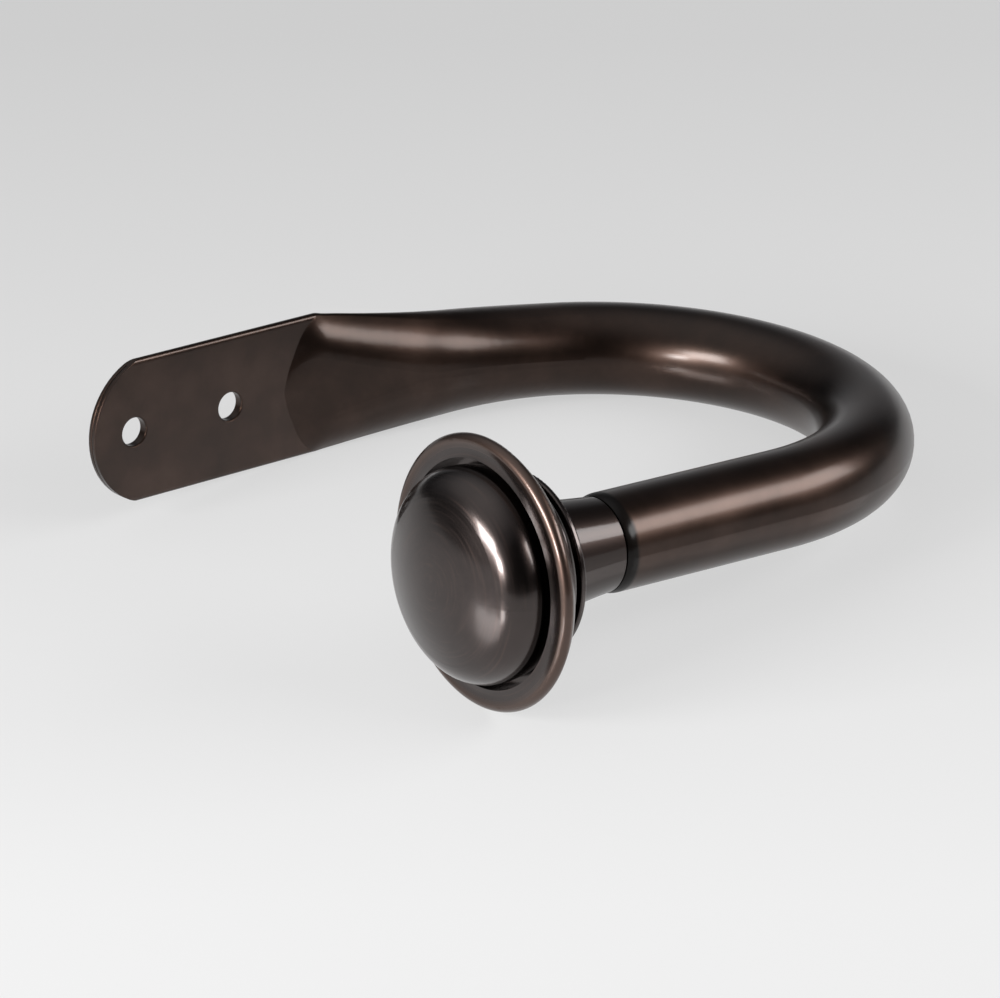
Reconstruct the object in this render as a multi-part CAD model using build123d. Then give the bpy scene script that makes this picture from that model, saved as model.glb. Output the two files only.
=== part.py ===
from build123d import *
import os
from math import asin, atan2, cos, degrees, hypot, pi, radians, sin, tan

# Curtain holdback: a bent steel tube with one end pressed flat to screw on a wall, and a turned
# finial on the other. Millimetres. The wall is the plane y = 0, the hook stands out to -Y, and the
# origin lies midway between the two screw holes, on the tab's back.

# Tube
tube_d = 16.0
wall = 0.8
bend_r = 41.0           # to the tube's centre line
bend_turn = 185.3       # degrees, a little past parallel
bend_x = 53.8           # where the bend starts
front_len = 36.7        # straight arm that carries the finial
lip_len = 1.6           # open end, turned in
lip_in = 0.35

# Tab: the end pressed flat
tab_tip = 18.5          # from the origin to the rounded end
tab_end_blunt = 0.5     # how much larger the end's radius is than half the tab's width
hole_d = 4.9
hole_pitch = 20.4
hole_roll = 0.2         # edge the punch rolls over
seam_gap = 0.16         # line between the two pressed walls, seen in the cropped end
seam_depth = 0.5

# Swell from the tab to the round tube
crease_x = 22.0         # foremost point of the crease where the tube starts to swell
crease_half = 4.0       # half width of the swell there, at the tab's middle; larger is a blunter crease
crease_fold = 0.3       # how round the swell's edges are there, as a share of its height
narrow_start = 6.8      # the tube stays as wide as the tab for this length behind the crease's point
knee_len = 24.5         # the press's straight slope ends this far behind that point
knee_thick = 10.6       # and the tube is this thick there
print_start = 7.0       # half width of the press's flat print, at the crease
print_rise = 8.0        # length over which that print flattens out
print_end = 0.8         # its half width at the slope's end
print_fade = 12.0       # length over which the print then rounds off
oval_len = 52.2         # from the crease to where the tube is round
near_round = 4.0        # a section this far before that shows where the round one has its corners
round_run = 4.0         # the swell runs on round for this length, so that it meets the bend smoothly
straight_limit = 1e-6   # an arc that bulges less than this is drawn as a line
void_start = 3.0        # the two walls part this far behind the crease's point
void_taper = 7.0        # how much narrower than the tube the hollow is there
void_widen = 20.0       # where that is made up for, from the crease's point
void_fold = 0.3         # least radius of the hollow's folds, as a share of its half thickness

# Where sections lie: across the crease, from there to the round tube, along the hollow, and on the round run
crease_shares = (-0.15, 0.08, 0.3, 0.6)
swell_shares = (0, 0.03, 0.07, 0.16, 0.25, 0.325, 0.39, 0.47, 0.56, 0.66, 0.77, 0.89, 0.95)
void_shares = (0, 0.07, 0.16, 0.28, 0.4, 0.52, 0.63, 0.73, 0.82, 0.91, 0.955)
run_shares = (0, 0.5, 1)

# Finial, with lengths along its axis from the tube's end
neck_root_r = 9.3
neck_len = 13.5
neck_flare = 0.09       # slope of the neck where it leaves the tube
collar_r = 14.5
collar_thick = 1.0
collar_groove = 0.9     # between the collar and the bead
collar_groove_depth = 1.3
bead_r = 15.4
bead_len = 2.8
bead_step = 0.5
cove_len = 3.4          # from the bead to the rim's back
cove_slope = 0.05
flange_r = 21.85
rim_thick = 1.8
rim_round = 1.2         # the rim's front edge
rim_lean = 0.3          # how far its side leans in to the back
dish_depth = 0.15
groove_width = 1.1      # between the flange and the dome
groove_depth = 2.7
dome_r = 17.1
dome_undercut = 0.4
dome_lift = 0.8         # from the rim's face to the dome's widest ring
dome_height = 8.2       # from that ring to the tip
dome_crown_r = 36.0
edge_break = 0.3

# Fastening inside the tube
stud_d = 6.0
stud_in_plug = 9.0
stud_in_finial = 9.5
plug_len = 10.0
thread_gap = 0.05
plug_gap = 0.05
plug_seat_gap = 0.1
hole_spare = 1.0        # drilled past the stud's end

tube_r = tube_d / 2
bore_r = tube_r - wall
neck_end_r = tube_r - lip_in
tab_thick = 2 * wall
tab_half = (pi * (tube_d - wall) / 2 + wall) / 2    # the tube's own wall, laid flat
tab_end_r = tab_half + tab_end_blunt
tab_end_x = tab_end_r - tab_tip
through = 4 * tab_thick
bend_start = bend_x - crease_x
round_end = oval_len + round_run
arc_len = radians(bend_turn) * bend_r
arm_start = bend_start + arc_len
arm_end = arm_start + front_len
disc_s = neck_len + collar_thick
bead_s = disc_s + collar_groove
cove_s = bead_s + bead_len
rim_back_s = cove_s + cove_len
rim_s = rim_back_s + rim_thick
rim_in = flange_r - rim_round
dome_side_s = rim_s + dome_lift
dome_tip_s = dome_side_s + dome_height


def smooth(x):
    """Eases from 0 to 1."""
    x = min(max(x, 0.0), 1.0)
    return x * x * (3 - 2 * x)


def station(u):
    """Plane across the tube at length u behind the crease's point: x outwards, y up, z along the tube."""
    turn = min(max(u - bend_start, 0.0) / bend_r, radians(bend_turn))
    lead = min(u, bend_start)
    after = max(u - bend_start - arc_len, 0.0)
    along = Vector(cos(turn), -sin(turn), 0)
    outwards = Vector(sin(turn), cos(turn), 0)
    centre = Vector(crease_x + lead, -tube_r - bend_r, 0) + outwards * bend_r + along * after
    return Plane(origin=centre, x_dir=outwards, z_dir=along)


def thickness(u):
    """The pressed tube's thickness: the press's straight slope, then an ease out to the round tube."""
    if u < knee_len:
        return tab_thick + (knee_thick - tab_thick) * u / knee_len
    rest = (u - knee_len) / (oval_len - knee_len)
    return knee_thick + (tube_d - knee_thick) * rest * (2 - rest)


def eased(x):
    """Leaves 0 at a slope and levels off at 1."""
    x = min(x, 1.0)
    return x * (3 - x * x) / 2


def narrowing(u):
    """How far the pressed tube has come from the tab's width to the round tube's, from 0 to 1."""
    return eased(max(u - narrow_start, 0.0) / (oval_len - narrow_start))


def half_height(u):
    """Half the swell's height: it spreads over the tab across the crease, then narrows to the round tube."""
    if u < narrow_start:
        return crease_half + (tab_half - crease_half) * eased(u / narrow_start)
    return tab_half + (tube_r - tab_half) * narrowing(u)


def fold_depth(u):
    """How far the folds, which are its widest points, lie from the wall."""
    return tab_thick / 2 + (tube_r - tab_thick / 2) * narrowing(u)


def arc_about(centre, r, start, end):
    """Points that start, halve and end an arc about a centre, with the angles in radians."""
    return [(centre[0] + r * cos(a), centre[1] + r * sin(a)) for a in (start, (start + end) / 2, end)]


def oval_side(half, end_r, swell):
    """One side of an oval: how far its arc's centre lies behind the middle, its radius and its half angle."""
    back = ((half - end_r) ** 2 - (swell - end_r) ** 2) / (2 * (swell - end_r))
    return back, swell + back, atan2(half - end_r, back)


def mirrored(points):
    """The same arc below the axis, run the other way."""
    return [(x, -y) for x, y in reversed(points)]


def pressed_front(u, thick, fold, end_r, oval_r):
    """The front: the press's flat print, and a shoulder that runs on into the fold's arc."""
    half_print = print_end + (print_start - print_end) * max(1 - u / knee_len, 0.0)
    half_print *= half_height(u) / tab_half
    rounding = 1 - smooth(u / print_rise) + smooth((u - knee_len) / print_fade)
    lean = asin(half_print / oval_r) * rounding
    tip = Vector(tube_r - thick + half_print * tan(lean / 2), half_print)
    inwards = Vector(cos(lean), -sin(lean))
    away = tip - fold
    shoulder_r = (end_r ** 2 - away.dot(away)) / (2 * (away.dot(inwards) + end_r))
    centre = tip + inwards * shoulder_r
    fold_from = atan2(fold.Y - centre.Y, fold.X - centre.X)
    ridge = [(tip.X, -tip.Y), (tube_r - thick, 0), (tip.X, tip.Y)]
    return ridge, arc_about((centre.X, centre.Y), shoulder_r, pi - lean, fold_from), fold_from


def rear_side(middle, half, end_r, behind):
    """The side towards the wall, and the angle at which the folds meet it."""
    if behind - end_r > straight_limit:
        back, r, spread = oval_side(half, end_r, behind)
        return arc_about((middle - back, 0), r, spread, -spread), spread
    x, y = middle + behind, half - end_r
    return [(x, y), (x, 0), (x, -y)], 0.0


def outer_section(u):
    """Outline of the swell, as six edges."""
    thick, half = thickness(u), half_height(u)
    depth = fold_depth(u)
    end_r = max(min(tab_thick / 2, crease_fold * (thick - depth)), thick ** 2 / 4 / half)
    behind = max(depth, end_r)
    fold = Vector(tube_r - behind, half - end_r)
    oval_r = oval_side(half, end_r, thick - behind)[1]
    ridge, strip, fold_from = pressed_front(u, thick, fold, end_r, oval_r)
    rear, fold_to = rear_side(fold.X, half, end_r, behind)
    side = arc_about((fold.X, fold.Y), end_r, fold_from, fold_to)
    return [ridge, strip, side, rear, mirrored(side), mirrored(strip)]


def void_section(u):
    """Outline of the hollow inside the pressed tube, as four edges."""
    thick = thickness(u) - 2 * wall
    half = half_height(u) - wall - void_taper * (1 - smooth(u / void_widen))
    end_r = max(void_fold * thick / 2, thick ** 2 / 4 / half)
    behind = max(fold_depth(u) - wall, end_r)
    middle = bore_r - behind
    back, r, spread = oval_side(half, end_r, thick - behind)
    front = arc_about((middle + back, 0), r, pi + spread, pi - spread)
    rear, fold_to = rear_side(middle, half, end_r, behind)
    fold = arc_about((middle, half - end_r), end_r, pi - spread, fold_to)
    return [front, fold, rear, mirrored(fold)]


def round_section(r, near):
    """The round tube's outline, cut where a section near it has its corners."""
    marks = []
    for corner, _, _ in near:
        angle = atan2(corner[1], corner[0])
        while marks and angle > marks[-1]:
            angle -= 2 * pi
        marks.append(angle)
    marks.append(marks[0] - 2 * pi)
    return [arc_about((0, 0), r, a, b) for a, b in zip(marks, marks[1:])]


def section_face(arcs, u):
    """A face across the tube from arcs, each given by three points."""
    edges = []
    for start, mid, end in arcs:
        halfway = ((start[0] + end[0]) / 2, (start[1] + end[1]) / 2)
        bulge = hypot(mid[0] - halfway[0], mid[1] - halfway[1])
        edges.append(ThreePointArc(start, mid, end) if bulge > straight_limit else Line(start, end))
    return station(u) * make_face(Wire(edges))


def round_faces(r, near):
    """Faces across the swell's round run."""
    return [section_face(round_section(r, near), oval_len + share * round_run) for share in run_shares]


def swell():
    """The tube's swell up to where it is round. Across the crease only the half that rises from the tab."""
    places = [share * narrow_start for share in crease_shares]
    places += [narrow_start + share * (oval_len - narrow_start) for share in swell_shares]
    faces = [section_face(outer_section(u), u) for u in places]
    faces += round_faces(tube_r, outer_section(oval_len - near_round))
    under = Box(2 * tab_half, through, 4 * tab_half, align=(Align.MAX, Align.MIN, Align.CENTER))
    return loft(faces) - Pos(crease_x + narrow_start, -wall, 0) * under


def hollow():
    """The room inside the swell, from where the walls part."""
    places = [void_start + share * (oval_len - void_start) for share in void_shares]
    faces = [section_face(void_section(u), u) for u in places]
    faces += round_faces(bore_r, void_section(oval_len - near_round))
    return loft(faces)


def end_seam():
    """The line where the two pressed walls lie on each other, as the cropped end shows it."""
    washer = Cylinder(tab_end_r + seam_depth, seam_gap) - Cylinder(tab_end_r - seam_depth, seam_gap)
    seam_half = tab_half - wall
    inside = Box(2 * tab_end_r, seam_gap, 2 * seam_half, align=(Align.MAX, Align.CENTER, Align.CENTER))
    return Pos(tab_end_x, -wall, 0) * (Rot(90, 0, 0) * washer & inside)


def tab():
    """The flat end: its round-edged section run to the tip, cropped to an arc and punched twice."""
    tab_len = tab_tip + crease_x + narrow_start
    slot = Pos(tube_r - tab_thick / 2, 0) * SlotOverall(2 * tab_half, tab_thick, rotation=90)
    flat = extrude(station(narrow_start) * slot, -tab_len)
    crop = Pos(tab_end_x, 0, 0) * Rot(90, 0, 0) * Cylinder(tab_end_r, through)
    keep = Box(tab_len, through, 4 * tab_half, align=(Align.MIN, Align.CENTER, Align.CENTER))
    flat = (flat & (crop + Pos(tab_end_x, 0, 0) * keep)) - end_seam()
    roll = Pos(0, 0, tab_thick - hole_roll / 2) * Cone(hole_d / 2, hole_d / 2 + hole_roll, hole_roll)
    punch = Rot(90, 0, 0) * (Cylinder(hole_d / 2, through) + roll)
    return flat - [Pos(side * hole_pitch / 2, 0, 0) * punch for side in (-1, 1)]


def ring(u):
    """The round tube's wall, cut across."""
    return station(u) * (Circle(tube_r) - Circle(bore_r))


def bend():
    """The round part of the bend."""
    hub = Axis((bend_x, -tube_r - bend_r, 0), (0, 0, -1))
    turned = degrees((round_end - bend_start) / bend_r)
    return revolve(ring(round_end), hub, bend_turn - turned)


def turned_about(lines):
    """A solid of revolution about Z from lines given in radius and height."""
    outline = Wire([edge for line in lines for edge in line.edges()])
    return revolve(Plane.XZ * make_face(outline), Axis.Z)


def front_arm():
    """The straight arm and its turned-in lip."""
    arm = extrude(ring(arm_start), front_len - lip_len)
    outside = TangentArc((tube_r, -lip_len), (tube_r - lip_in, 0), tangent=(0, 1))
    inside = TangentArc((bore_r, -lip_len), (bore_r - lip_in, 0), tangent=(0, 1))
    lip = turned_about([outside, Line(outside @ 1, inside @ 1), inside, Line(inside @ 0, outside @ 0)])
    return arm + station(arm_end) * lip


def hook_tube():
    """One tube from the wall tab to the open end."""
    return tab() + swell() - hollow() + bend() + front_arm()


def collar_edges():
    """Neck, rear disc, dark groove, bead and the cove up to the flange's rim."""
    groove_r = collar_r - collar_groove_depth
    step = (bead_r - bead_step, cove_s)
    neck = TangentArc((neck_end_r, edge_break), (neck_root_r, neck_len), tangent=(neck_flare, 1))
    disc = FilletPolyline(
        (neck_root_r, neck_len), (collar_r, neck_len), (collar_r, disc_s), (groove_r, disc_s),
        (groove_r, bead_s), radius=edge_break)
    bead = ThreePointArc((groove_r, bead_s), (bead_r, bead_s + bead_len / 2), step)
    cove = TangentArc(step, (flange_r - rim_lean, rim_back_s), tangent=(1, cove_slope))
    return [neck, disc, bead, cove]


def dome_edges():
    """Rim, dished face, groove and dome, from the rim's back to the tip."""
    groove_r = dome_r + groove_width
    floor_s = rim_s - groove_depth
    base = (dome_r - dome_undercut, floor_s)
    edge = (flange_r, rim_s - rim_round)
    rim_side = TangentArc(edge, (flange_r - rim_lean, rim_back_s), tangent=(0, -1))
    rim = TangentArc(edge, (rim_in, rim_s), tangent=(0, 1))
    dish = ThreePointArc((rim_in, rim_s), ((rim_in + groove_r) / 2, rim_s - dish_depth), (groove_r, rim_s))
    groove = Polyline((groove_r, rim_s), (groove_r, floor_s), base)
    side = TangentArc((dome_r, dome_side_s), base, tangent=(0, -1))
    crown_s = dome_tip_s - dome_crown_r
    rise = dome_side_s - crown_s
    shoulder_r = (dome_crown_r ** 2 - rise ** 2 - dome_r ** 2) / (2 * (dome_crown_r - dome_r))
    reach = hypot(dome_r - shoulder_r, rise)
    meet = ((dome_r - shoulder_r) / reach * dome_crown_r, crown_s + rise / reach * dome_crown_r)
    shoulder = TangentArc((dome_r, dome_side_s), meet, tangent=(0, 1))
    crown = TangentArc((0, dome_tip_s), meet, tangent=(1, 0))
    return [rim_side, rim, dish, groove, side, shoulder, crown]


def finial():
    """The turned button, one piece, with a blind tapped hole in its neck."""
    end = Polyline((neck_end_r, edge_break), (neck_end_r - edge_break, 0), (0, 0), (0, dome_tip_s))
    button = turned_about([end, *collar_edges(), *dome_edges()])
    drilled = stud_in_finial + hole_spare
    tapped = Cylinder(stud_d / 2 + thread_gap, drilled, align=(Align.CENTER, Align.CENTER, Align.MIN))
    return station(arm_end) * (button - tapped)


def tube_plug():
    """The tapped plug held behind the lip."""
    slug = Cylinder(bore_r - plug_gap, plug_len) - Cylinder(stud_d / 2 + thread_gap, plug_len)
    return station(arm_end) * Pos(0, 0, -lip_len - plug_seat_gap - plug_len / 2) * slug


def finial_stud():
    """The headless screw between plug and finial."""
    length = lip_len + plug_seat_gap + stud_in_plug + stud_in_finial
    rod = chamfer(Cylinder(stud_d / 2, length).edges(), edge_break)
    return station(arm_end) * Pos(0, 0, stud_in_finial - length / 2) * rod


os.makedirs("parts", exist_ok=True)
for piece in (hook_tube, finial, tube_plug, finial_stud):
    export_step(piece(), f"parts/{piece.__name__}.step")
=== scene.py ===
import math

import bpy
from mathutils import Matrix, Vector

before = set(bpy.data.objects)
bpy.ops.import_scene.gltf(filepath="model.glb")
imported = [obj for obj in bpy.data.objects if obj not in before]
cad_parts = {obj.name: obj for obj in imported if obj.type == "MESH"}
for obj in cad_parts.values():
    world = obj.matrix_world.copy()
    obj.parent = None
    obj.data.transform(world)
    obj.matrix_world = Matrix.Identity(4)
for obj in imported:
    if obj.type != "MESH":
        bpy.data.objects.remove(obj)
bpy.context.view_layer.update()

# The frame is in metres. Small sizes are written in millimetres times MM.
MM = 0.001

# Where the holdback touches the table it lies on: the finial's rim, the bend and the tab's lower edge.
# The table lies a hair below them and reaches out of sight.
RIM_TOUCH = Vector((-8.43, -82.76, -21.79)) * MM
BEND_TOUCH = Vector((88.32, -24.92, -7.93)) * MM
TAB_TOUCH = Vector((29.48, -0.80, -12.27)) * MM
TABLE_UP = (BEND_TOUCH - RIM_TOUCH).cross(TAB_TOUCH - RIM_TOUCH).normalized()
TABLE_GAP = 0.03 * MM
TABLE_HALF = 8.0

# The finial's axis: the middle of the tube's open end and the way the dome faces, a little past parallel.
TURN_CENTRE = Vector((13.470, -86.435, 0.0)) * MM
PAST_PARALLEL = math.radians(5.3)
TURN_AXIS = Vector((-math.cos(PAST_PARALLEL), math.sin(PAST_PARALLEL), 0.0))
TURN_SIDE = Vector((-TURN_AXIS.y, TURN_AXIS.x, 0.0))

# The noise values taken as the darkest and the palest of a patina's clouds.
CLOUD_DARK = 0.3
CLOUD_PALE = 0.7

# How deep the marks of rubbing and turning are.
MARK_DEPTH = 0.02 * MM

# The tube's finish: the size of its clouds, its rubbing grain and its soft edges.
TUBE_CLOUD = 14 * MM
TUBE_GRAIN = 0.25 * MM
GRAIN_RELIEF = 0.2
TUBE_EDGE = 0.35 * MM
TUBE_PLATE = ((CLOUD_DARK, "#2d231e"), (0.5, "#362923"), (CLOUD_PALE, "#42332c"))
TUBE_ROUGH_DARK = 0.32
TUBE_ROUGH_PALE = 0.39

# The tube's turned-in lip, where shade is painted in as near-black plate under the neck: where it starts and
# is full, along the finial's axis from the tube's end, and how far from the end's middle it can lie.
LIP_START = -2.3 * MM
LIP_FULL = -1.6 * MM
LIP_REACH = 12 * MM
LIP_PAINTED_SHADE = "#14100e"
LIP_ROUGH = 0.6

# The finial's finish: the size of its clouds, the gap between its tool rings, the noise values from which a
# ring shows as pale copper and shows most, how much it then shows, and its relief. The pale copper is partly
# scratches and partly a painted sheen for the glints of the turning.
FINIAL_CLOUD = 9 * MM
FINIAL_PLATE = ((CLOUD_DARK, "#3e3735"), (CLOUD_PALE, "#473f3d"))
RING_GAP = 0.4 * MM
RING_START = 0.55
RING_FULL = 0.8
RING_SHARE = 0.25
RING_COPPER_AND_SHEEN = "#6c5850"
RING_RELIEF = 0.05
POLISH_ROUGH_LOW = 0.23
POLISH_ROUGH_HIGH = 0.27

# Its rim, by the distance from the axis, whose copper is partly rubbed wear and partly a painted sheen of
# the rim's highlight, and its satin neck, along the axis.
RIM_START = 19.6 * MM
RIM_FULL = 20.8 * MM
RIM_COPPER_AND_SHEEN = "#54443d"
NECK_START = 14.0 * MM
NECK_FULL = 12.5 * MM
NECK_PLATE = "#352c29"
SATIN_ROUGH = 0.38

# The dome's crown: the middle of its sphere, behind the tube's end, and the distances from the axis where
# its worked-out normal ends, where the mesh's own has taken over and where the rings have full relief.
CROWN_CENTRE = TURN_AXIS * -3.5 * MM
CROWN_END = 1.36 * MM
CROWN_GONE = 1.5 * MM
RINGS_FULL = 3.0 * MM

# The hidden plug and stud: the size of the tool marks on bare steel.
STEEL_MARK = 0.5 * MM
STEEL = ((CLOUD_DARK, "#a9abad"), (CLOUD_PALE, "#c4c5c6"))

# The table: white board, the share of its light that reaches the eye as a plain studio sweep instead of lit
# board, and the sweep's greys from the front to the back of the stretch that the camera sees.
BOARD_WHITE = "#ececec"
BOARD_GLAZE = 0.4
SWEEP_SHARE = 0.82
SWEEP_FRONT = -0.06
SWEEP_BACK = 0.27
SWEEP = ((0.0, "#e7e7e7"), (0.42, "#d6d6d6"), (1.0, "#c8c8c8"))

# The photograph's camera: azimuth 0 looks along +Y.
VIEW_AZ = math.radians(-43.278)
VIEW_EL = math.radians(20.269)
VIEW_ROLL = math.radians(1.701)
VIEW_TARGET = Vector((32.265, -44.1, -9.101)) * MM
VIEW_DISTANCE = 852.181 * MM
VIEW_LENS = 187.2
SENSOR_WIDTH = 36.0
CLIP_START = 0.01
CLIP_END = 20.0

# Soft boxes: name, azimuth and elevation in degrees, width and height in metres, and watts.
LAMP_DISTANCE = 0.80
LAMPS = (
    ("left_box", -95, 19, 0.36, 0.21, 7.0),
    ("low_lamp", -78, 10, 0.14, 0.10, 3.2),
    ("front_box", 36, 33, 0.72, 0.28, 5.6),
)

# The room: the way to its palest part, high on the camera's left, and to a pale patch low across from the
# camera, each with the cosine at which it starts, and the patch's share of the room's greys.
HIGH_WAY = Vector((-0.30, 0.30, 0.91))
HIGH_START = 0.5
ACROSS_WAY = Vector((0.69, 0.69, 0.21))
ACROSS_START = 0.89
ACROSS_SHARE = 0.56
ROOM = ((0.0, "#262628"), (0.45, "#828284"), (1.0, "#e4e4e4"))


def outward(azimuth, elevation):
    """The way from the holdback towards a place at an azimuth and elevation in radians."""
    level = math.cos(elevation)
    return Vector((math.sin(azimuth) * level, -math.cos(azimuth) * level, math.sin(elevation)))


VIEW_BACK = outward(VIEW_AZ, VIEW_EL)


def linear(hex_colour):
    """An sRGB hex colour as linear RGBA."""
    shares = [int(hex_colour[i:i + 2], 16) / 255 for i in (1, 3, 5)]
    return [c / 12.92 if c <= 0.04045 else ((c + 0.055) / 1.055) ** 2.4 for c in shares] + [1.0]


def add(tree, kind, inputs=None, stops=(), **settings):
    """Adds a node, sets its options and any colour stops, and fills or links its inputs.

    Inputs go by name, or by number where names repeat: in a mix 0 is the share, 2 and 3 are numbers,
    4 and 5 vectors, 6 and 7 colours, and its outputs 0, 1 and 2 are those three in turn.
    """
    made = tree.nodes.new(kind)
    for name, value in settings.items():
        setattr(made, name, value)
    for index, (place, colour) in enumerate(stops):
        elements = made.color_ramp.elements
        stop = elements[index] if index < len(elements) else elements.new(place)
        stop.position = place
        stop.color = linear(colour)
    for key, value in (inputs or {}).items():
        if isinstance(value, bpy.types.NodeSocket):
            tree.links.new(value, made.inputs[key])
        else:
            made.inputs[key].default_value = value
    return made


def blank(name):
    """A new material with an empty tree and its output."""
    material = bpy.data.materials.new(name)
    material.use_nodes = True
    material.node_tree.nodes.clear()
    out = material.node_tree.nodes.new("ShaderNodeOutputMaterial")
    return material, material.node_tree, out.inputs["Surface"]


def from_tube_end(tree):
    """Each point's place measured from the middle of the tube's open end."""
    place = add(tree, "ShaderNodeTexCoord").outputs["Object"]
    moved = add(tree, "ShaderNodeVectorMath", {0: place, 1: TURN_CENTRE}, operation="SUBTRACT")
    return moved.outputs["Vector"]


def rubbed_bronze_satin():
    """Steel tube with a dark bronze plate, rubbed back and lacquered.

    The plate gives brown mid tones and copper at the edges of the highlights; the thin lacquer gives
    the pale core of a highlight. Fine grain from the rubbing keeps the highlights broad and soft.
    """
    material, tree, surface = blank("oil_rubbed_bronze_satin")
    place = from_tube_end(tree)
    cloud = add(tree, "ShaderNodeTexNoise", {
        "Vector": place, "Scale": 1 / TUBE_CLOUD, "Detail": 4.0, "Roughness": 0.55}).outputs["Fac"]
    plate = add(tree, "ShaderNodeValToRGB", {"Fac": cloud}, TUBE_PLATE).outputs["Color"]
    # Painted shade: the plate is drawn near-black and dull on the turned-in lip, where it tucks in under the
    # neck.
    along = add(tree, "ShaderNodeVectorMath", {0: place, 1: TURN_AXIS}, operation="DOT_PRODUCT")
    at_end = add(tree, "ShaderNodeMapRange", {
        "Value": along.outputs["Value"], "From Min": LIP_START, "From Max": LIP_FULL}).outputs["Result"]
    reach = add(tree, "ShaderNodeVectorMath", {0: place}, operation="LENGTH").outputs["Value"]
    near = add(tree, "ShaderNodeMath", {0: reach, 1: LIP_REACH}, operation="LESS_THAN").outputs[0]
    lip_shade = add(tree, "ShaderNodeMath", {0: at_end, 1: near}, operation="MULTIPLY").outputs[0]
    colour = add(tree, "ShaderNodeMix", {
        0: lip_shade, 6: plate, 7: linear(LIP_PAINTED_SHADE)}, data_type="RGBA").outputs[2]
    # Rubbing grain is about 0.05 mm; it is drawn five times as coarse to show.
    grain = add(tree, "ShaderNodeTexNoise", {
        "Vector": place, "Scale": 1 / TUBE_GRAIN, "Detail": 2.0}).outputs["Fac"]
    edge = add(tree, "ShaderNodeBevel", {"Radius": TUBE_EDGE}, samples=6).outputs["Normal"]
    bump = add(tree, "ShaderNodeBump", {
        "Strength": GRAIN_RELIEF, "Distance": MARK_DEPTH,
        "Height": grain, "Normal": edge}).outputs["Normal"]
    rubbed = add(tree, "ShaderNodeMapRange", {
        "Value": cloud, "From Min": CLOUD_DARK, "From Max": CLOUD_PALE,
        "To Min": TUBE_ROUGH_DARK, "To Max": TUBE_ROUGH_PALE}).outputs["Result"]
    rough = add(tree, "ShaderNodeMix", {0: lip_shade, 2: rubbed, 3: LIP_ROUGH}).outputs[0]
    shader = add(tree, "ShaderNodeBsdfPrincipled", {
        "Base Color": colour, "Metallic": 1.0, "Roughness": rough,
        "Coat Weight": 0.35, "Coat Roughness": 0.2, "Normal": bump})
    tree.links.new(shader.outputs["BSDF"], surface)
    return material


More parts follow.
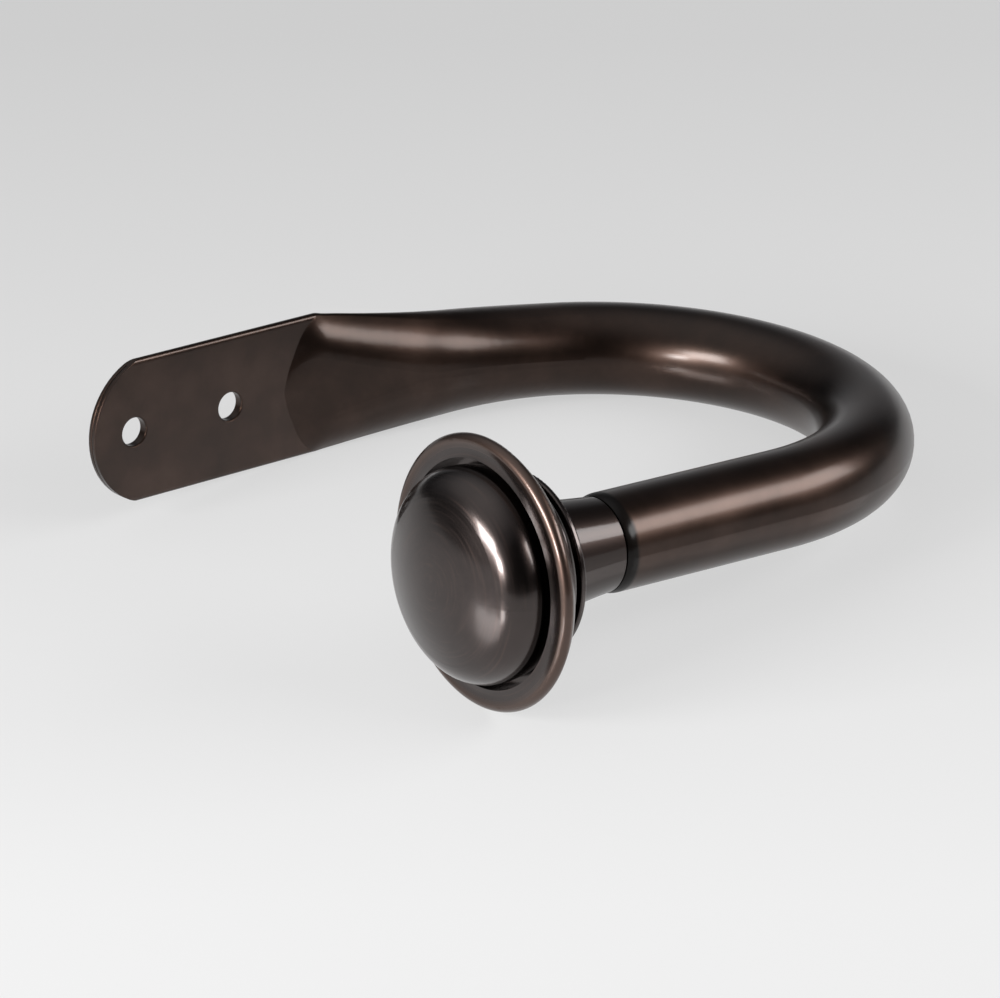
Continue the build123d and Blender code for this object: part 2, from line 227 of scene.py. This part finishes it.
def turned_bronze():
    """Solid finial turned on a lathe, plated the same dark bronze and polished.

    The tool's rings run round the axis and leave fine pale copper arcs on the dome, partly scratches and
    partly a painted sheen for the turning's glints; the polish makes dome and flange glossier and greyer
    than the tube, copper on the rim is partly rubbed wear and partly a painted sheen of its highlight, and
    the neck is satin.
    """
    material, tree, surface = blank("oil_rubbed_bronze_turned")
    place = from_tube_end(tree)
    along = add(tree, "ShaderNodeVectorMath", {0: place, 1: TURN_AXIS}, operation="DOT_PRODUCT")
    side = add(tree, "ShaderNodeVectorMath", {0: place, 1: TURN_SIDE}, operation="DOT_PRODUCT")
    spoke = add(tree, "ShaderNodeVectorMath", {0: TURN_AXIS, 1: place}, operation="CROSS_PRODUCT")
    radius = add(tree, "ShaderNodeVectorMath", {
        0: spoke.outputs["Vector"]}, operation="LENGTH").outputs["Value"]
    height = add(tree, "ShaderNodeSeparateXYZ", {"Vector": place}).outputs["Z"]
    angle = add(tree, "ShaderNodeMath", {
        0: height, 1: side.outputs["Value"]}, operation="ARCTAN2").outputs[0]
    # Tool rings are about 0.1 mm apart; they are drawn four times as coarse to show, and a radian long.
    ring = add(tree, "ShaderNodeMath", {0: radius, 1: RING_GAP}, operation="DIVIDE").outputs[0]
    path = add(tree, "ShaderNodeCombineXYZ", {"X": ring, "Y": angle}).outputs["Vector"]
    arcs = add(tree, "ShaderNodeTexNoise", {
        "Vector": path, "Scale": 1.0, "Detail": 2.0}, noise_dimensions="2D").outputs["Fac"]
    cloud = add(tree, "ShaderNodeTexNoise", {
        "Vector": place, "Scale": 1 / FINIAL_CLOUD, "Detail": 3.0}).outputs["Fac"]
    plate = add(tree, "ShaderNodeValToRGB", {"Fac": cloud}, FINIAL_PLATE).outputs["Color"]
    # Painted sheen and scratches: pale copper on the tool arcs, partly scratches and partly standing in for
    # the turning's glints.
    scratch_and_sheen = add(tree, "ShaderNodeMapRange", {
        "Value": arcs, "From Min": RING_START, "From Max": RING_FULL,
        "To Max": RING_SHARE}).outputs["Result"]
    scored_and_sheen = add(tree, "ShaderNodeMix", {
        0: scratch_and_sheen, 6: plate, 7: linear(RING_COPPER_AND_SHEEN)}, data_type="RGBA").outputs[2]
    # Copper on the rim: partly rubbed wear and partly a painted sheen of the rim's highlight.
    rim = add(tree, "ShaderNodeMapRange", {
        "Value": radius, "From Min": RIM_START, "From Max": RIM_FULL}).outputs["Result"]
    rubbed = add(tree, "ShaderNodeMix", {
        0: rim, 6: scored_and_sheen, 7: linear(RIM_COPPER_AND_SHEEN)}, data_type="RGBA").outputs[2]
    neck = add(tree, "ShaderNodeMapRange", {
        "Value": along.outputs["Value"], "From Min": NECK_START, "From Max": NECK_FULL}).outputs["Result"]
    colour = add(tree, "ShaderNodeMix", {
        0: neck, 6: rubbed, 7: linear(NECK_PLATE)}, data_type="RGBA").outputs[2]
    # The crown's normal is worked out at its middle, where the facets run together.
    crown = add(tree, "ShaderNodeVectorMath", {0: place, 1: CROWN_CENTRE}, operation="SUBTRACT")
    facing = add(tree, "ShaderNodeVectorMath", {
        0: crown.outputs["Vector"]}, operation="NORMALIZE").outputs["Vector"]
    facets = add(tree, "ShaderNodeNewGeometry").outputs["Normal"]
    beyond = add(tree, "ShaderNodeMapRange", {
        "Value": radius, "From Min": CROWN_END, "From Max": CROWN_GONE}).outputs["Result"]
    skin = add(tree, "ShaderNodeMix", {0: beyond, 4: facing, 5: facets}, data_type="VECTOR").outputs[1]
    relief = add(tree, "ShaderNodeMapRange", {
        "Value": radius, "From Min": CROWN_END, "From Max": RINGS_FULL,
        "To Max": RING_RELIEF}).outputs["Result"]
    bump = add(tree, "ShaderNodeBump", {
        "Strength": relief, "Distance": MARK_DEPTH, "Height": arcs, "Normal": skin}).outputs["Normal"]
    polish = add(tree, "ShaderNodeMapRange", {
        "Value": arcs, "From Min": CLOUD_DARK, "From Max": CLOUD_PALE,
        "To Min": POLISH_ROUGH_LOW, "To Max": POLISH_ROUGH_HIGH}).outputs["Result"]
    satin = add(tree, "ShaderNodeMath", {0: neck, 1: rim}, operation="MAXIMUM").outputs[0]
    rough = add(tree, "ShaderNodeMix", {0: satin, 2: polish, 3: SATIN_ROUGH}).outputs[0]
    shader = add(tree, "ShaderNodeBsdfPrincipled", {
        "Base Color": colour, "Metallic": 1.0, "Roughness": rough,
        "Coat Weight": 0.5, "Coat Roughness": 0.12, "Normal": bump, "Coat Normal": bump})
    tree.links.new(shader.outputs["BSDF"], surface)
    return material


def turned_steel():
    """Bare turned steel of the hidden plug and stud: grey, with faint tool marks."""
    material, tree, surface = blank("plain_turned_steel")
    marks = add(tree, "ShaderNodeTexNoise", {
        "Vector": from_tube_end(tree), "Scale": 1 / STEEL_MARK, "Detail": 3.0}).outputs["Fac"]
    colour = add(tree, "ShaderNodeValToRGB", {"Fac": marks}, STEEL).outputs["Color"]
    shader = add(tree, "ShaderNodeBsdfPrincipled", {
        "Base Color": colour, "Metallic": 1.0, "Roughness": 0.35})
    tree.links.new(shader.outputs["BSDF"], surface)
    return material


def dress(name, material):
    """Gives a piece of the solid model its finish."""
    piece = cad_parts[name]
    piece.data.materials.clear()
    piece.data.materials.append(material)


def glazed_board():
    """White glazed board: bright, with a soft mirror of the lamps.

    Seen by the camera or in the metal it is part lit board and part plain grey that lightens towards
    the front, so the shadows stay but are as faint as on a white studio sweep.
    """
    material, tree, surface = blank("white_glazed_board")
    place = add(tree, "ShaderNodeTexCoord").outputs["Object"]
    depth = add(tree, "ShaderNodeSeparateXYZ", {"Vector": place}).outputs["Y"]
    share = add(tree, "ShaderNodeMapRange", {
        "Value": depth, "From Min": SWEEP_FRONT, "From Max": SWEEP_BACK}).outputs["Result"]
    sweep = add(tree, "ShaderNodeValToRGB", {"Fac": share}, SWEEP).outputs["Color"]
    rays = add(tree, "ShaderNodeLightPath").outputs
    seen = rays["Is Camera Ray"]
    for ray in ("Is Glossy Ray", "Is Transmission Ray"):
        seen = add(tree, "ShaderNodeMath", {0: seen, 1: rays[ray]}, operation="MAXIMUM").outputs[0]
    glow = add(tree, "ShaderNodeMath", {0: seen, 1: SWEEP_SHARE}, operation="MULTIPLY").outputs[0]
    white = linear(BOARD_WHITE)
    lit = [c * (1 - SWEEP_SHARE) for c in white[:3]] + [1.0]
    board = add(tree, "ShaderNodeMix", {0: seen, 6: white, 7: lit}, data_type="RGBA").outputs[2]
    # The glaze is thin, and the camera doesn't see it, since it would mirror the holdback.
    glaze = add(tree, "ShaderNodeMapRange", {
        "Value": rays["Is Camera Ray"], "To Min": BOARD_GLAZE, "To Max": 0.0}).outputs["Result"]
    shader = add(tree, "ShaderNodeBsdfPrincipled", {
        "Base Color": board, "Roughness": 0.09, "Specular IOR Level": glaze,
        "Emission Color": sweep, "Emission Strength": glow})
    tree.links.new(shader.outputs["BSDF"], surface)
    return material


def table():
    """The board that the holdback lies on, tilted in this frame because the holdback lies on its rim."""
    corners = [(x * TABLE_HALF, y * TABLE_HALF, 0) for x, y in ((-1, -1), (1, -1), (1, 1), (-1, 1))]
    mesh = bpy.data.meshes.new("table")
    mesh.from_pydata(corners, [], [(0, 1, 2, 3)])
    floor = bpy.data.objects.new("table", mesh)
    bpy.context.scene.collection.objects.link(floor)
    across = TABLE_UP.cross(VIEW_BACK).normalized()
    turn = Matrix((across, TABLE_UP.cross(across), TABLE_UP)).transposed().to_4x4()
    floor.matrix_world = Matrix.Translation(RIM_TOUCH - TABLE_UP * TABLE_GAP) @ turn
    mesh.materials.append(glazed_board())


def soft_box(name, azimuth, elevation, width, height, watts):
    """A studio soft box that faces the holdback. Azimuth 0 is the front, and 90 degrees its right."""
    lamp = bpy.data.lights.new(name, "AREA")
    lamp.shape = "RECTANGLE"
    lamp.size = width
    lamp.size_y = height
    lamp.energy = watts
    box = bpy.data.objects.new(name, lamp)
    bpy.context.scene.collection.objects.link(box)
    away = outward(math.radians(azimuth), math.radians(elevation))
    box.location = VIEW_TARGET + away * LAMP_DISTANCE
    box.rotation_euler = away.to_track_quat("Z", "Y").to_euler()


def camera():
    """A long lens at the photograph's place."""
    level = Vector((0, 0, 1)).cross(VIEW_BACK).normalized()
    upright = VIEW_BACK.cross(level)
    right = level * math.cos(VIEW_ROLL) + upright * math.sin(VIEW_ROLL)
    up = upright * math.cos(VIEW_ROLL) - level * math.sin(VIEW_ROLL)
    lens = bpy.data.cameras.new("camera")
    lens.lens = VIEW_LENS
    lens.sensor_width = SENSOR_WIDTH
    lens.clip_start = CLIP_START
    lens.clip_end = CLIP_END
    eye = bpy.data.objects.new("camera", lens)
    bpy.context.scene.collection.objects.link(eye)
    turn = Matrix((right, up, VIEW_BACK)).transposed().to_4x4()
    eye.matrix_world = Matrix.Translation(VIEW_TARGET + VIEW_BACK * VIEW_DISTANCE) @ turn
    bpy.context.scene.camera = eye


def surroundings():
    """A dim room with two pale parts, so that metal shows the lamps and the table against dark."""
    world = bpy.data.worlds.new("dim_room")
    bpy.context.scene.world = world
    world.use_nodes = True
    tree = world.node_tree
    way = add(tree, "ShaderNodeTexCoord").outputs["Generated"]
    pale = []
    for pale_way, start, share in ((HIGH_WAY, HIGH_START, 1.0), (ACROSS_WAY, ACROSS_START, ACROSS_SHARE)):
        nearness = add(tree, "ShaderNodeVectorMath", {0: way, 1: pale_way}, operation="DOT_PRODUCT")
        pale.append(add(tree, "ShaderNodeMapRange", {
            "Value": nearness.outputs["Value"], "From Min": start, "To Max": share}).outputs["Result"])
    palest = add(tree, "ShaderNodeMath", {0: pale[0], 1: pale[1]}, operation="MAXIMUM").outputs[0]
    grey = add(tree, "ShaderNodeValToRGB", {"Fac": palest}, ROOM).outputs["Color"]
    tree.links.new(grey, tree.nodes["Background"].inputs["Color"])


dress("hook_tube", rubbed_bronze_satin())
dress("finial", turned_bronze())
steel = turned_steel()
dress("tube_plug", steel)
dress("finial_stud", steel)
table()
camera()
for lamp in LAMPS:
    soft_box(*lamp)
surroundings()
bpy.context.scene.view_settings.view_transform = "Standard"
